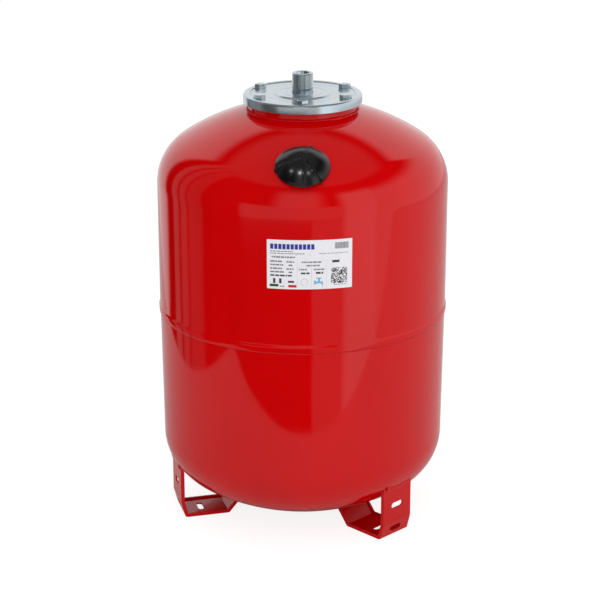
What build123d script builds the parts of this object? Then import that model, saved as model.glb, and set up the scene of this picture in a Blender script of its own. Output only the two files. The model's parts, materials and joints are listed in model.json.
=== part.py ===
from build123d import *
import os
from math import acos, atan2, cos, degrees, radians, sin, sqrt

# Floor-standing expansion vessel: two drawn steel shells on three strip feet, a rubber bladder
# clamped under a bolted counter-flange, and an air valve under a pull-off plastic cover.
# Millimetres, +Z up, origin on the floor under the vessel's axis, front towards -Y.

# ---- shells ----
shell_r = 225.5          # outer radius of the upper half's straight side
shell_wall = 1.8
crown_r = 345.0          # the dished heads' large outer radius
knuckle_r = 80.0         # the dished heads' corner outer radius
upper_length = 205.0     # straight side of the upper half, above its rim
lower_length = 205.0     # straight side of the lower half, below the upper half's rim
lower_step = 0.6         # the lower half's rim is this much smaller in radius
lower_taper = 2.3        # the lower half narrows this much in radius towards its head
floor_gap = 7.5          # from the floor to the lowest point of the lower head
lap_depth = 12.0         # how far the upper half's belled rim reaches over the lower half
bell_run = 4.0           # height over which the rim widens
rim_clear = 1.0          # from the lower half's edge to the start of that widening
girth_bead = 1.9         # leg of the weld bead under the upper rim

# ---- clearances ----
fit_gap = 0.1            # between fixed pieces that sit against each other
run_gap = 0.4            # between pieces that move past each other

# ---- neck, bladder and counter-flange ----
neck_bore_r = 60.0
ring_edge = 8.9          # neck ring outside the bolt circle
neck_rise = 10.1         # from the crown's top to the ring's flat top
neck_bead = 3.5
lip_width = 8.0          # the bladder's clamped lip, beyond the neck bore
lip_t = 3.0
bladder_t = 3.0
bladder_gap = 50.0       # from the upper half's outer radius to the bladder's side
bladder_drop = 40.0      # from the upper knuckle down to the bladder's shoulder
bladder_lift = 60.0      # from the lower knuckle up to the bladder's lower corner
bladder_crown_r = 260.0
bladder_knuckle_r = 80.0
flange_overhang = 7.6    # counter-flange outside the neck ring
flange_t = 3.0
flange_skirt = 9.8       # height of the turned-down rim below its corner
flange_corner_r = 4.0
shoulder_width = 10.6    # raised ring between the rim and the bolt seat
shoulder_rise = 1.2
step_run = 0.8           # slope of the step between the seat and the raised ring
centre_r = 43.0          # raised middle of the counter-flange
centre_rise = 1.3
centre_run = 4.0
bolt_count = 6
bolt_edge = 7.1          # bolt circle outside the bladder's lip
bolt_r = 5.0
bolt_length = 16.0
bolt_run_out = 1.5       # hole depth left under the bolt's tip
head_across_flats = 16.0
bolt_head_t = 6.4
first_bolt_angle = 30.0

# ---- water connection ----
nipple_r = 16.62
nipple_bore_r = 10.5
nipple_height = 30.7     # above the counter-flange's middle
nipple_tail = 2.0        # below the counter-flange's middle
thread_length = 22.0
collar_step = 0.42       # the plain collar is this much smaller in radius than the thread
nipple_chamfer = 1.2
nipple_bead = 3.2

# ---- air valve, measured along its own axis from the dome's outer surface ----
valve_tilt = 32.3        # from the vessel's axis
boss_edge = 1.6          # socket outside the gasket
boss_out = 2.5
boss_in = 8.0
boss_bead = 2.4
gasket_edge = 0.4        # gasket outside the hexagon's flats
gasket_t = 1.0
stem_thread_r = 5.0
stem_tail = 6.5          # below the gasket
hex_across_flats = 14.0
hex_t = 3.5
stem_r = 3.85
stem_bore_r = 2.65
stem_rise = 6.4          # above the hexagon
core_length = 7.0
core_wall = 0.65
core_floor = 1.0
core_recess = 1.0        # from the stem's mouth to the core's top
pin_r = 0.75
pin_collar_t = 1.0
pin_recess = 0.5         # from the stem's mouth to the pin's tip
pin_travel = 1.5
pin_foot_t = 0.9
seal_t = 1.2
spring_wire_r = 0.15
spring_turns = 5
cap_wall = 1.35
cap_roof = 1.2

# ---- valve cover ----
cover_r = 40.3
cover_wall = 1.6
cover_rim = 1.5          # height of the straight edge below the dome
cover_sink = 1.0         # the edge reaches this far below the dome's surface at the valve
cover_headroom = 0.7     # over the dust cap
hub_wall = 1.4
hub_lift = 0.4           # from the hexagon's foot up to the hub's edge
tab_width = 3.4          # tabs at the rim, at the ends of the dome's three grooves
tab_reach = 1.6
tab_rise = 0.6           # above the straight edge
tab_count = 3
first_tab_angle = 72.0

# ---- feet, in their side view: distance from the vessel's axis and height ----
foot_angles = {"front_left": 195.0, "front_right": 315.0, "rear": 75.0}
leg_inset = 13.5         # from the lower half's side in to the upright leg's outer face
toe_lean = 6.8           # the leg's lower part leans in this much
base_length = 71.9       # flat on the floor
leg_bend_z = 26.0
heel_lean = 16.0         # the riser leans in this much ...
heel_climb = 19.0        # ... for this much of height
foot_width = 62.0
foot_t = 2.8
foot_lip = 6.0           # depth of the folded side lips, sheet included
foot_lip_t = 2.6
foot_bend_r = 5.0
foot_bead = 3.0
foot_bead_inset = 5.0
slot_length = 25.0
slot_width = 9.5
leg_slot_drop = 30.8     # from where the leg meets the shell down to its slot
toe_slot_z = 13.5
base_slot_in = 30.3      # from the base's outer end to its slot

# ---- rating label ----
label_width = 126.0
label_height = 75.0
label_t = 0.25
label_lift = 100.5       # from the seam to the label's lower edge
label_shift = 10.5       # along the wall, from the front towards +X
front_angle = 270.0


def head_height(side_r):
    """Height of a dished head from its straight side to the top of its crown."""
    return crown_r - sqrt((crown_r - knuckle_r) ** 2 - (side_r - knuckle_r) ** 2)


# ---- levels and radii that follow from the sizes above ----
lower_r = shell_r - lower_step
lower_base_r = lower_r - lower_taper
lower_knuckle_z = floor_gap + head_height(lower_base_r)
seam_z = lower_knuckle_z + lower_length
upper_knuckle_z = seam_z + upper_length
apex_z = upper_knuckle_z + head_height(shell_r)
neck_top_z = apex_z + neck_rise
lip_floor_z = neck_top_z - lip_t
lip_r = neck_bore_r + lip_width
bolt_circle_r = lip_r + bolt_edge
neck_ring_r = bolt_circle_r + ring_edge
flange_r = neck_ring_r + flange_overhang
collar_r = nipple_r - collar_step
seat_z = neck_top_z + flange_t
centre_z = seat_z + centre_rise
bell_in_r = lower_r + fit_gap
bell_out_r = bell_in_r + shell_wall
gasket_r = hex_across_flats / 2 + gasket_edge
boss_r = gasket_r + boss_edge
leg_r = lower_base_r - leg_inset
toe_r = leg_r - toe_lean
heel_r = toe_r - base_length
base_slot_r = toe_r - base_slot_in
leg_top_z = lower_knuckle_z - sqrt(knuckle_r**2 - (leg_r - lower_base_r + knuckle_r) ** 2)
leg_slot_z = leg_top_z - leg_slot_drop


def dished_arcs(side_r, base_z, crown, knuckle, inset, end_r, way):
    """Draw a dished head's knuckle and crown arcs, moved inwards by inset.

    way is 1 for a head that domes upwards, -1 for one that domes downwards. The two free
    ends are returned: where the knuckle leaves the straight side, and the crown at end_r.
    """
    reach = side_r - knuckle
    drop = sqrt((crown - knuckle) ** 2 - reach**2)
    join = atan2(drop, reach)
    finish = acos(end_r / (crown - inset))

    def on_knuckle(angle):
        size = knuckle - inset
        return (reach + size * cos(angle), base_z + way * size * sin(angle))

    def on_crown(angle):
        size = crown - inset
        return (size * cos(angle), base_z + way * (size * sin(angle) - drop))

    ThreePointArc(on_knuckle(0), on_knuckle(join / 2), on_knuckle(join))
    ThreePointArc(on_crown(join), on_crown((join + finish) / 2), on_crown(finish))
    return on_knuckle(0), on_crown(finish)


def crown_z(radius, lift=0.0):
    """Height of the upper crown's outer surface, raised by lift, at a radius."""
    return apex_z - crown_r + sqrt((crown_r + lift) ** 2 - radius**2)


def head_point(tilt):
    """Radius and height of the upper head where its surface leans by tilt degrees."""
    reach = shell_r - knuckle_r
    knuckle_tilt = degrees(atan2(reach, sqrt((crown_r - knuckle_r) ** 2 - reach**2)))
    lean = radians(tilt)
    if tilt < knuckle_tilt:
        return crown_r * sin(lean), apex_z - crown_r * (1 - cos(lean))
    return reach + knuckle_r * sin(lean), upper_knuckle_z + knuckle_r * cos(lean)


os.makedirs("parts", exist_ok=True)

# ---- valve axis: square to the upper head, at the front ----
valve_r, valve_z = head_point(valve_tilt)
valve_point = Vector(0, -valve_r, valve_z)
valve_out = Vector(0, -sin(radians(valve_tilt)), cos(radians(valve_tilt)))
valve_axis = Axis(valve_point, valve_out)
valve_face = Plane(origin=valve_point, x_dir=(1, 0, 0), z_dir=valve_out)
valve_side = Plane(origin=valve_point, x_dir=(1, 0, 0), z_dir=Vector(1, 0, 0).cross(valve_out))

# ---- shells ----
with BuildPart() as upper_shell:
    with BuildSketch(Plane.XZ):
        with BuildLine():
            outer_side, outer_end = dished_arcs(
                shell_r, upper_knuckle_z, crown_r, knuckle_r, 0, neck_bore_r, 1
            )
            inner_side, inner_end = dished_arcs(
                shell_r, upper_knuckle_z, crown_r, knuckle_r, shell_wall, neck_bore_r, 1
            )
            Line(outer_end, inner_end)
            Polyline(
                outer_side,
                (shell_r, seam_z + lap_depth),
                (bell_out_r, seam_z + lap_depth - bell_run),
                (bell_out_r, seam_z),
                (bell_in_r, seam_z),
                (bell_in_r, seam_z + lap_depth - bell_run),
                (shell_r - shell_wall, seam_z + lap_depth),
                inner_side,
            )
        make_face()
    revolve(axis=Axis.Z)
    with BuildSketch(valve_face.offset(-boss_in)):
        Circle(boss_r + fit_gap)
    extrude(amount=boss_in + boss_out, mode=Mode.SUBTRACT)
upper_shell.part.label = "upper_shell"
export_step(upper_shell.part, "parts/upper_shell.step")

with BuildPart() as lower_shell:
    rim_z = seam_z + lap_depth - bell_run - rim_clear
    with BuildSketch(Plane.XZ):
        with BuildLine():
            outer_side, outer_end = dished_arcs(
                lower_base_r, lower_knuckle_z, crown_r, knuckle_r, 0, 0, -1
            )
            inner_side, inner_end = dished_arcs(
                lower_base_r, lower_knuckle_z, crown_r, knuckle_r, shell_wall, 0, -1
            )
            Line(outer_end, inner_end)
            Polyline(
                outer_side,
                (lower_r, seam_z),
                (lower_r, rim_z),
                (lower_r - shell_wall, rim_z),
                (lower_r - shell_wall, seam_z),
                inner_side,
            )
        make_face()
    revolve(axis=Axis.Z)
lower_shell.part.label = "lower_shell"
export_step(lower_shell.part, "parts/lower_shell.step")

with BuildPart() as girth_weld:
    with BuildSketch(Plane.XZ):
        with BuildLine():
            Polyline(
                (bell_in_r, seam_z - fit_gap),
                (bell_in_r + shell_wall, seam_z - fit_gap),
                (bell_in_r, seam_z - fit_gap - girth_bead),
                close=True,
            )
        make_face()
    revolve(axis=Axis.Z)
girth_weld.part.label = "girth_weld"
export_step(girth_weld.part, "parts/girth_weld.step")

# ---- neck ----
with BuildPart() as neck_ring:
    with BuildSketch(Plane.XZ):
        with BuildLine():
            ThreePointArc(
                *[(r, crown_z(r, fit_gap)) for r in
                  (neck_bore_r, (neck_bore_r + neck_ring_r) / 2, neck_ring_r)]
            )
            Polyline(
                (neck_ring_r, crown_z(neck_ring_r, fit_gap)),
                (neck_ring_r, neck_top_z),
                (lip_r + fit_gap, neck_top_z),
                (lip_r + fit_gap, lip_floor_z),
                (neck_bore_r, lip_floor_z),
                (neck_bore_r, crown_z(neck_bore_r, fit_gap)),
            )
        make_face()
    revolve(axis=Axis.Z)
    hole_depth = bolt_length - flange_t + bolt_run_out
    with BuildSketch(Plane.XY.offset(neck_top_z)):
        with PolarLocations(bolt_circle_r, bolt_count, start_angle=first_bolt_angle):
            Circle(bolt_r + fit_gap)
    extrude(amount=-hole_depth, mode=Mode.SUBTRACT)
neck_ring.part.label = "neck_ring"
export_step(neck_ring.part, "parts/neck_ring.step")

with BuildPart() as neck_weld:
    bead_r = neck_ring_r + fit_gap
    with BuildSketch(Plane.XZ):
        with BuildLine():
            Polyline(
                (bead_r, crown_z(bead_r, 2 * fit_gap)),
                (bead_r, crown_z(bead_r) + neck_bead),
                (bead_r + neck_bead, crown_z(bead_r + neck_bead, 2 * fit_gap)),
                close=True,
            )
        make_face()
    revolve(axis=Axis.Z)
neck_weld.part.label = "neck_weld"
export_step(neck_weld.part, "parts/neck_weld.step")

with BuildPart() as bladder:
    side_r = shell_r - bladder_gap
    throat_r = neck_bore_r - fit_gap
    upper_z = upper_knuckle_z - bladder_drop
    lower_z = lower_knuckle_z + bladder_lift
    with BuildSketch(Plane.XZ):
        with BuildLine():
            out_side, out_neck = dished_arcs(
                side_r, upper_z, bladder_crown_r, bladder_knuckle_r, 0, throat_r, 1
            )
            in_side, in_neck = dished_arcs(
                side_r, upper_z, bladder_crown_r, bladder_knuckle_r, bladder_t,
                throat_r - bladder_t, 1,
            )
            out_low, out_end = dished_arcs(
                side_r, lower_z, bladder_crown_r, bladder_knuckle_r, 0, 0, -1
            )
            in_low, in_end = dished_arcs(
                side_r, lower_z, bladder_crown_r, bladder_knuckle_r, bladder_t, 0, -1
            )
            Line(out_side, out_low)
            Line(in_side, in_low)
            Line(out_end, in_end)
            Polyline(
                out_neck,
                (throat_r, lip_floor_z + fit_gap),
                (lip_r, lip_floor_z + fit_gap),
                (lip_r, neck_top_z - fit_gap),
                (throat_r - bladder_t, neck_top_z - fit_gap),
                in_neck,
            )
        make_face()
    revolve(axis=Axis.Z)
bladder.part.label = "bladder"
export_step(bladder.part, "parts/bladder.step")

# ---- counter-flange and its bolts ----
with BuildPart() as counter_flange:
    top_z = seat_z + shoulder_rise
    rim_in_r = flange_r - flange_t
    corner_in_r = flange_corner_r - flange_t
    shoulder_r = flange_r - shoulder_width
    hole_r = nipple_r + fit_gap
    slope_r = centre_r + centre_run
    with BuildSketch(Plane.XZ):
        with BuildLine():
            corner = (flange_r - flange_corner_r, top_z - flange_corner_r)
            CenterArc(corner, flange_corner_r, 0, 90)
            CenterArc(corner, corner_in_r, 0, 90)
            Polyline(
                (corner[0], top_z),
                (shoulder_r, top_z),
                (shoulder_r - step_run, seat_z),
                (slope_r, seat_z),
                (centre_r, centre_z),
                (hole_r, centre_z),
                (hole_r, centre_z - flange_t),
                (centre_r, centre_z - flange_t),
                (slope_r, seat_z - flange_t),
                (neck_ring_r, seat_z - flange_t),
                (neck_ring_r + step_run, top_z - flange_t),
                (corner[0], top_z - flange_t),
            )
            Polyline(
                (rim_in_r, corner[1]),
                (rim_in_r, corner[1] - flange_skirt),
                (flange_r, corner[1] - flange_skirt),
                (flange_r, corner[1]),
            )
        make_face()
    revolve(axis=Axis.Z)
    # Bolt holes, and round flats pressed around them where the heads reach the raised ring.
    with BuildSketch(Plane.XY.offset(seat_z - flange_t - fit_gap)):
        with PolarLocations(bolt_circle_r, bolt_count, start_angle=first_bolt_angle):
            Circle(bolt_r + fit_gap)
    extrude(amount=flange_t + 2 * fit_gap, mode=Mode.SUBTRACT)
    with BuildSketch(Plane.XY.offset(seat_z)):
        with PolarLocations(bolt_circle_r, bolt_count, start_angle=first_bolt_angle):
            Circle(head_across_flats / 2 / cos(radians(30)) + 2 * run_gap)
    extrude(amount=shoulder_rise + fit_gap, mode=Mode.SUBTRACT)
counter_flange.part.label = "counter_flange"
export_step(counter_flange.part, "parts/counter_flange.step")

with BuildPart() as flange_bolts:
    with BuildSketch(Plane.XY.offset(seat_z + fit_gap)):
        with PolarLocations(bolt_circle_r, bolt_count, start_angle=first_bolt_angle):
            RegularPolygon(head_across_flats / 2, 6, major_radius=False)
    extrude(amount=bolt_head_t)
    with BuildSketch(Plane.XY.offset(seat_z + fit_gap)):
        with PolarLocations(bolt_circle_r, bolt_count, start_angle=first_bolt_angle):
            Circle(bolt_r)
    extrude(amount=-bolt_length)
flange_bolts.part.label = "flange_bolts"
export_step(flange_bolts.part, "parts/flange_bolts.step")

# ---- water connection ----
with BuildPart() as water_nipple:
    nipple_top_z = centre_z + nipple_height
    tail_z = centre_z - flange_t - nipple_tail
    with BuildSketch(Plane.XZ):
        with BuildLine():
            Polyline(
                (nipple_bore_r, tail_z),
                (nipple_r, tail_z),
                (nipple_r, centre_z),
                (collar_r, centre_z + fit_gap),
                (collar_r, nipple_top_z - thread_length),
                (nipple_r, nipple_top_z - thread_length),
                (nipple_r, nipple_top_z - nipple_chamfer),
                (nipple_r - nipple_chamfer, nipple_top_z),
                (nipple_bore_r, nipple_top_z),
                close=True,
            )
        make_face()
    revolve(axis=Axis.Z)
water_nipple.part.label = "water_nipple"
export_step(water_nipple.part, "parts/water_nipple.step")

with BuildPart() as nipple_weld:
    weld_z = centre_z - flange_t - fit_gap
    with BuildSketch(Plane.XZ):
        with BuildLine():
            Polyline(
                (nipple_r + fit_gap, weld_z),
                (nipple_r + fit_gap + nipple_bead, weld_z),
                (nipple_r + fit_gap, weld_z - nipple_tail + fit_gap),
                close=True,
            )
        make_face()
    revolve(axis=Axis.Z)
nipple_weld.part.label = "nipple_weld"
export_step(nipple_weld.part, "parts/nipple_weld.step")

# ---- air valve: heights along its axis ----
gasket_h = boss_out + fit_gap
hex_h = gasket_h + gasket_t + fit_gap
stem_h = hex_h + hex_t
mouth_h = stem_h + stem_rise
core_top_h = mouth_h - core_recess
core_low_h = core_top_h - core_length
core_r = stem_bore_r - fit_gap
core_bore_r = core_r - core_wall
pin_collar_r = core_bore_r - run_gap
seal_r = stem_bore_r - run_gap
collar_h = core_top_h - run_gap - pin_collar_t
seal_h = core_low_h - fit_gap - seal_t
pin_foot_h = seal_h - fit_gap / 2 - pin_foot_t
spring_low_h = core_low_h + core_floor + fit_gap + spring_wire_r
spring_high_h = collar_h - pin_travel - fit_gap - spring_wire_r

with BuildPart() as valve_boss:
    with BuildSketch(valve_face.offset(-boss_in)):
        Circle(boss_r)
        Circle(stem_thread_r + fit_gap, mode=Mode.SUBTRACT)
    extrude(amount=boss_in + boss_out)
valve_boss.part.label = "valve_boss"
export_step(valve_boss.part, "parts/valve_boss.step")

with BuildPart() as boss_weld:
    with BuildSketch(valve_side):
        with BuildLine():
            Polyline(
                (boss_r + fit_gap, fit_gap),
                (boss_r + fit_gap + boss_bead, fit_gap),
                (boss_r + fit_gap, boss_out - fit_gap),
                close=True,
            )
        make_face()
    revolve(axis=valve_axis)
boss_weld.part.label = "boss_weld"
export_step(boss_weld.part, "parts/boss_weld.step")

with BuildPart() as valve_gasket:
    with BuildSketch(valve_face.offset(gasket_h)):
        Circle(gasket_r)
        Circle(stem_thread_r + fit_gap, mode=Mode.SUBTRACT)
    extrude(amount=gasket_t)
valve_gasket.part.label = "valve_gasket"
export_step(valve_gasket.part, "parts/valve_gasket.step")

with BuildPart() as valve_stem:
    with BuildSketch(valve_face.offset(hex_h)):
        RegularPolygon(hex_across_flats / 2, 6, major_radius=False)
    extrude(amount=hex_t)
    with BuildSketch(valve_face.offset(hex_h)):
        Circle(stem_thread_r)
    extrude(amount=-(gasket_t + stem_tail))
    with BuildSketch(valve_face.offset(stem_h)):
        Circle(stem_r)
    extrude(amount=stem_rise)
    with BuildSketch(valve_face.offset(mouth_h)):
        Circle(stem_bore_r)
    extrude(amount=-(mouth_h - hex_h + gasket_t + stem_tail), mode=Mode.SUBTRACT)
valve_stem.part.label = "valve_stem"
export_step(valve_stem.part, "parts/valve_stem.step")

with BuildPart() as valve_core:
    with BuildSketch(valve_side):
        with BuildLine():
            Polyline(
                (pin_r + run_gap, core_low_h),
                (core_r, core_low_h),
                (core_r, core_top_h),
                (core_bore_r, core_top_h),
                (core_bore_r, core_low_h + core_floor),
                (pin_r + run_gap, core_low_h + core_floor),
                close=True,
            )
        make_face()
    revolve(axis=valve_axis)
valve_core.part.label = "valve_core"
export_step(valve_core.part, "parts/valve_core.step")

with BuildPart() as valve_pin:
    with BuildSketch(valve_side):
        with BuildLine():
            Polyline(
                (0, pin_foot_h),
                (pin_collar_r, pin_foot_h),
                (pin_collar_r, pin_foot_h + pin_foot_t),
                (pin_r, pin_foot_h + pin_foot_t),
                (pin_r, collar_h),
                (pin_collar_r, collar_h),
                (pin_collar_r, collar_h + pin_collar_t),
                (pin_r, collar_h + pin_collar_t),
                (pin_r, mouth_h - pin_recess),
                (0, mouth_h - pin_recess),
                close=True,
            )
        make_face()
    revolve(axis=valve_axis)
valve_pin.part.label = "valve_pin"
export_step(valve_pin.part, "parts/valve_pin.step")

with BuildPart() as valve_seal:
    with BuildSketch(valve_face.offset(seal_h)):
        Circle(seal_r)
        Circle(pin_r + fit_gap / 2, mode=Mode.SUBTRACT)
    extrude(amount=seal_t)
valve_seal.part.label = "valve_seal"
export_step(valve_seal.part, "parts/valve_seal.step")

spring_height = spring_high_h - spring_low_h
spring_r = (pin_r + run_gap + core_bore_r) / 2 - fit_gap
with BuildPart() as valve_spring:
    with BuildLine():
        coil_foot = valve_point + valve_out * spring_low_h
        coil = Helix(spring_height / spring_turns, spring_height, spring_r, coil_foot, valve_out)
    with BuildSketch(Plane(origin=coil @ 0, z_dir=coil % 0)):
        Circle(spring_wire_r)
    sweep(path=coil, is_frenet=True)
valve_spring.part.label = "valve_spring"
export_step(valve_spring.part, "parts/valve_spring.step")

cap_bore_r = stem_r + run_gap
cap_r = cap_bore_r + cap_wall
cap_low_h = stem_h + run_gap
cap_top_h = mouth_h + run_gap + cap_roof
with BuildPart() as valve_dust_cap:
    with BuildSketch(valve_face.offset(cap_low_h)):
        Circle(cap_r)
    extrude(amount=cap_top_h - cap_low_h)
    with BuildSketch(valve_face.offset(cap_low_h)):
        Circle(cap_bore_r)
    extrude(amount=mouth_h + run_gap - cap_low_h, mode=Mode.SUBTRACT)
valve_dust_cap.part.label = "valve_dust_cap"
export_step(valve_dust_cap.part, "parts/valve_dust_cap.step")

# ---- valve cover: a domed disc with a hub that grips the stem's hexagon ----
edge_h = -cover_sink
dome_h = edge_h + cover_rim
top_h = cap_top_h + cover_headroom + cover_wall
cover_height = top_h - dome_h
hub_in_r = hex_across_flats / 2 / cos(radians(30)) + run_gap
hub_out_r = hub_in_r + hub_wall
dome_r = (cover_r**2 + cover_height**2) / (2 * cover_height)


def dome_height(radius, inset):
    """Height along the valve's axis of the cover's dome, moved inwards by inset."""
    return top_h - dome_r + sqrt((dome_r - inset) ** 2 - radius**2)


with BuildPart() as valve_cover:
    inner_r = cover_r - cover_wall
    with BuildSketch(valve_side):
        with BuildLine():
            ThreePointArc(
                *[(r, dome_height(r, 0)) for r in (0, cover_r / 2, cover_r)]
            )
            ThreePointArc(
                *[(r, dome_height(r, cover_wall)) for r in (hub_out_r, inner_r / 2, inner_r)]
            )
            ThreePointArc(
                *[(r, dome_height(r, cover_wall)) for r in (0, hub_in_r / 2, hub_in_r)]
            )
            Line((0, dome_height(0, cover_wall)), (0, dome_height(0, 0)))
            Polyline(
                (hub_in_r, dome_height(hub_in_r, cover_wall)),
                (hub_in_r, hex_h + hub_lift),
                (hub_out_r, hex_h + hub_lift),
                (hub_out_r, dome_height(hub_out_r, cover_wall)),
            )
            Polyline(
                (cover_r, dome_h),
                (cover_r, edge_h),
                (inner_r, edge_h),
                (inner_r, dome_height(inner_r, cover_wall)),
            )
        make_face()
    revolve(axis=valve_axis)
    with BuildSketch(valve_face.offset(edge_h)):
        with PolarLocations(cover_r, tab_count, start_angle=first_tab_angle):
            Rectangle(2 * min(tab_reach, cover_wall - fit_gap), tab_width)
    extrude(amount=cover_rim + tab_rise)
valve_cover.part.label = "valve_cover"
export_step(valve_cover.part, "parts/valve_cover.step")

# ---- feet: folded strip with side lips, trimmed to the lower shell and welded on ----
foot_top_z = lower_knuckle_z


def foot_path(inset):
    """Corners of a foot's side view, moved inwards by inset, from the leg to the riser."""
    climb = foot_top_z / heel_climb
    corners = [
        Vector(leg_r, foot_top_z),
        Vector(leg_r, leg_bend_z),
        Vector(toe_r, 0),
        Vector(heel_r, 0),
        Vector(heel_r - climb * heel_lean, foot_top_z),
    ]
    runs = [(end - start).normalized() for start, end in zip(corners, corners[1:])]
    inwards = [Vector(run.Y, -run.X) for run in runs]
    moved = [corners[0] + inwards[0] * inset]
    for corner, before, after in zip(corners[1:], inwards, inwards[1:]):
        moved.append(corner + (before + after) * (inset / (1 + before.dot(after))))
    # The path ends level with its start, so the last corner slides along the riser.
    last = corners[-1] + inwards[-1] * inset
    moved.append(last - runs[-1] * ((last.Y - foot_top_z) / runs[-1].Y))
    return moved


def foot_region(inset):
    """The area inside a foot's side view, closed at the top inside the vessel."""
    path = foot_path(inset)
    with BuildSketch(mode=Mode.PRIVATE) as region:
        with BuildLine():
            FilletPolyline(*path, radius=max(foot_bend_r - inset, fit_gap))
            Line(path[-1], path[0])
        make_face()
    return region.sketch


def lower_blank(lift):
    """The lower vessel as a plain solid, raised by lift, that trims what is welded to it."""
    with BuildPart(mode=Mode.PRIVATE) as blank:
        with BuildSketch(Plane.XZ):
            with BuildLine():
                side, end = dished_arcs(
                    lower_base_r, lower_knuckle_z, crown_r, knuckle_r, -lift, 0, -1
                )
                Polyline(side, (side[0], seam_z), (0, seam_z), end)
            make_face()
        revolve(axis=Axis.Z)
    return blank.part


shell_trim = lower_blank(fit_gap)
bead_trim = lower_blank(foot_bead)
strip = foot_region(0) - foot_region(foot_t)
lip = foot_region(0) - foot_region(foot_lip)
bead = foot_region(-foot_bead) - foot_region(-fit_gap)

for name, angle in foot_angles.items():
    outward = Vector(1, 0, 0).rotate(Axis.Z, angle)
    along = Vector(0, 0, 1).cross(outward)
    side_view = Plane(origin=(0, 0, 0), x_dir=outward, z_dir=-along)
    leg_view = Plane(origin=outward * leg_r, x_dir=along, z_dir=outward)
    base_view = Plane(origin=outward * base_slot_r, x_dir=along, z_dir=(0, 0, 1))
    with BuildPart() as foot:
        with BuildSketch(side_view):
            add(strip)
        extrude(amount=foot_width / 2, both=True)
        for start in (-foot_width / 2, foot_width / 2 - foot_lip_t):
            with BuildSketch(side_view.offset(start)):
                add(lip)
            extrude(amount=foot_lip_t)
        with BuildSketch(leg_view.offset(foot_t)):
            with Locations((0, leg_slot_z), (0, toe_slot_z)):
                SlotOverall(slot_length, slot_width)
        extrude(amount=-(leg_r - base_slot_r) / 2, mode=Mode.SUBTRACT)
        with BuildSketch(base_view):
            SlotOverall(slot_length, slot_width)
        extrude(amount=foot_lip, mode=Mode.SUBTRACT)
        add(shell_trim, mode=Mode.SUBTRACT)
    foot.part.label = f"{name}_foot"
    export_step(foot.part, f"parts/{name}_foot.step")

    with BuildPart() as foot_weld:
        with BuildSketch(side_view):
            add(bead)
        extrude(amount=foot_width / 2 - foot_bead_inset, both=True)
        add(bead_trim, mode=Mode.INTERSECT)
        add(shell_trim, mode=Mode.SUBTRACT)
    foot_weld.part.label = f"{name}_foot_weld"
    export_step(foot_weld.part, f"parts/{name}_foot_weld.step")

# ---- rating label, stuck on the upper half ----
with BuildPart() as rating_label:
    label_in_r = shell_r + fit_gap
    label_arc = degrees(label_width / label_in_r)
    label_angle = front_angle + degrees(label_shift / label_in_r) - label_arc / 2
    start = Vector(1, 0, 0).rotate(Axis.Z, label_angle)
    with BuildSketch(Plane(origin=(0, 0, 0), x_dir=start, z_dir=start.cross(Vector(0, 0, 1)))):
        with Locations((label_in_r, seam_z + label_lift)):
            Rectangle(label_t, label_height, align=(Align.MIN, Align.MIN))
    revolve(axis=Axis.Z, revolution_arc=label_arc)
rating_label.part.label = "rating_label"
export_step(rating_label.part, "parts/rating_label.step")
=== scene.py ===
"""Looks for a floor-standing expansion vessel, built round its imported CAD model."""

import json
import math

import bmesh
import bpy
import numpy as np
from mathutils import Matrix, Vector


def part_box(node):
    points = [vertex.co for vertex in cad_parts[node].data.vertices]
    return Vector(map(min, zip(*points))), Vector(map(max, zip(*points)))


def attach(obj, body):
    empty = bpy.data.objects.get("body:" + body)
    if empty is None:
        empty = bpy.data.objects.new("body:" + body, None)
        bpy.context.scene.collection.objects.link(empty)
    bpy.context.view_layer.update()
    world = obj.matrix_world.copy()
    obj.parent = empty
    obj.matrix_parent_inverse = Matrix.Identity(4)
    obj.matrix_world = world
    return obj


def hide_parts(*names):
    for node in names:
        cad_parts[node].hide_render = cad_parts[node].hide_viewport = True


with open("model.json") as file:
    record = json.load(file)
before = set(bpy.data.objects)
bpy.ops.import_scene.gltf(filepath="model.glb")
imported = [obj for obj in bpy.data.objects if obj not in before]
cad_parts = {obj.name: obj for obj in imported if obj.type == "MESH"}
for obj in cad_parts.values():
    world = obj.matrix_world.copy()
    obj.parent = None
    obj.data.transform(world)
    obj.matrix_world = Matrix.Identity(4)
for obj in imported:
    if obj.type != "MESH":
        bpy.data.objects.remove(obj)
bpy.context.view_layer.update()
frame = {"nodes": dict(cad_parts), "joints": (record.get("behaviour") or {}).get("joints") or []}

bl_info = {
    "name": "Expansion Vessel Looks",
    "version": (1, 0, 0),
    "blender": (4, 5, 0),
    "location": "3D View > Sidebar > Vessel",
    "description": "Builds the surfaces, finishes and studio of a floor-standing expansion vessel",
    "category": "Add Mesh",
}

MM = 0.001
TURN = 2 * math.pi

# ---- levels and radii, in millimetres: from the CAD frame where a node's box gives them ----
SHELL_LOW, SHELL_HIGH = (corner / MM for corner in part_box("upper_shell"))
LOWER_LOW, LOWER_HIGH = (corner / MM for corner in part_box("lower_shell"))
FLANGE_LOW, FLANGE_HIGH = (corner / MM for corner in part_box("counter_flange"))
NIPPLE_LOW, NIPPLE_HIGH = (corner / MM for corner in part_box("water_nipple"))
RING_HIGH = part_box("neck_ring")[1] / MM
LABEL_LOW, LABEL_HIGH = (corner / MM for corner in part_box("rating_label"))

CROWN_R = 345.0
KNUCKLE_R = 80.0
WALL = 1.8
BELL_R = SHELL_HIGH.x
SHELL_R = BELL_R - 1.3
LOWER_R = SHELL_R - 0.6
LOWER_BASE_R = LOWER_R - 2.3
SEAM_Z = SHELL_LOW.z
NECK_R = 60.0
RING_R = RING_HIGH.x
FLANGE_R = FLANGE_HIGH.x
NIPPLE_R = NIPPLE_HIGH.x
BOLTS_R = 75.1
LABEL_TURN = math.radians(270) + 10.5 / SHELL_R

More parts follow.
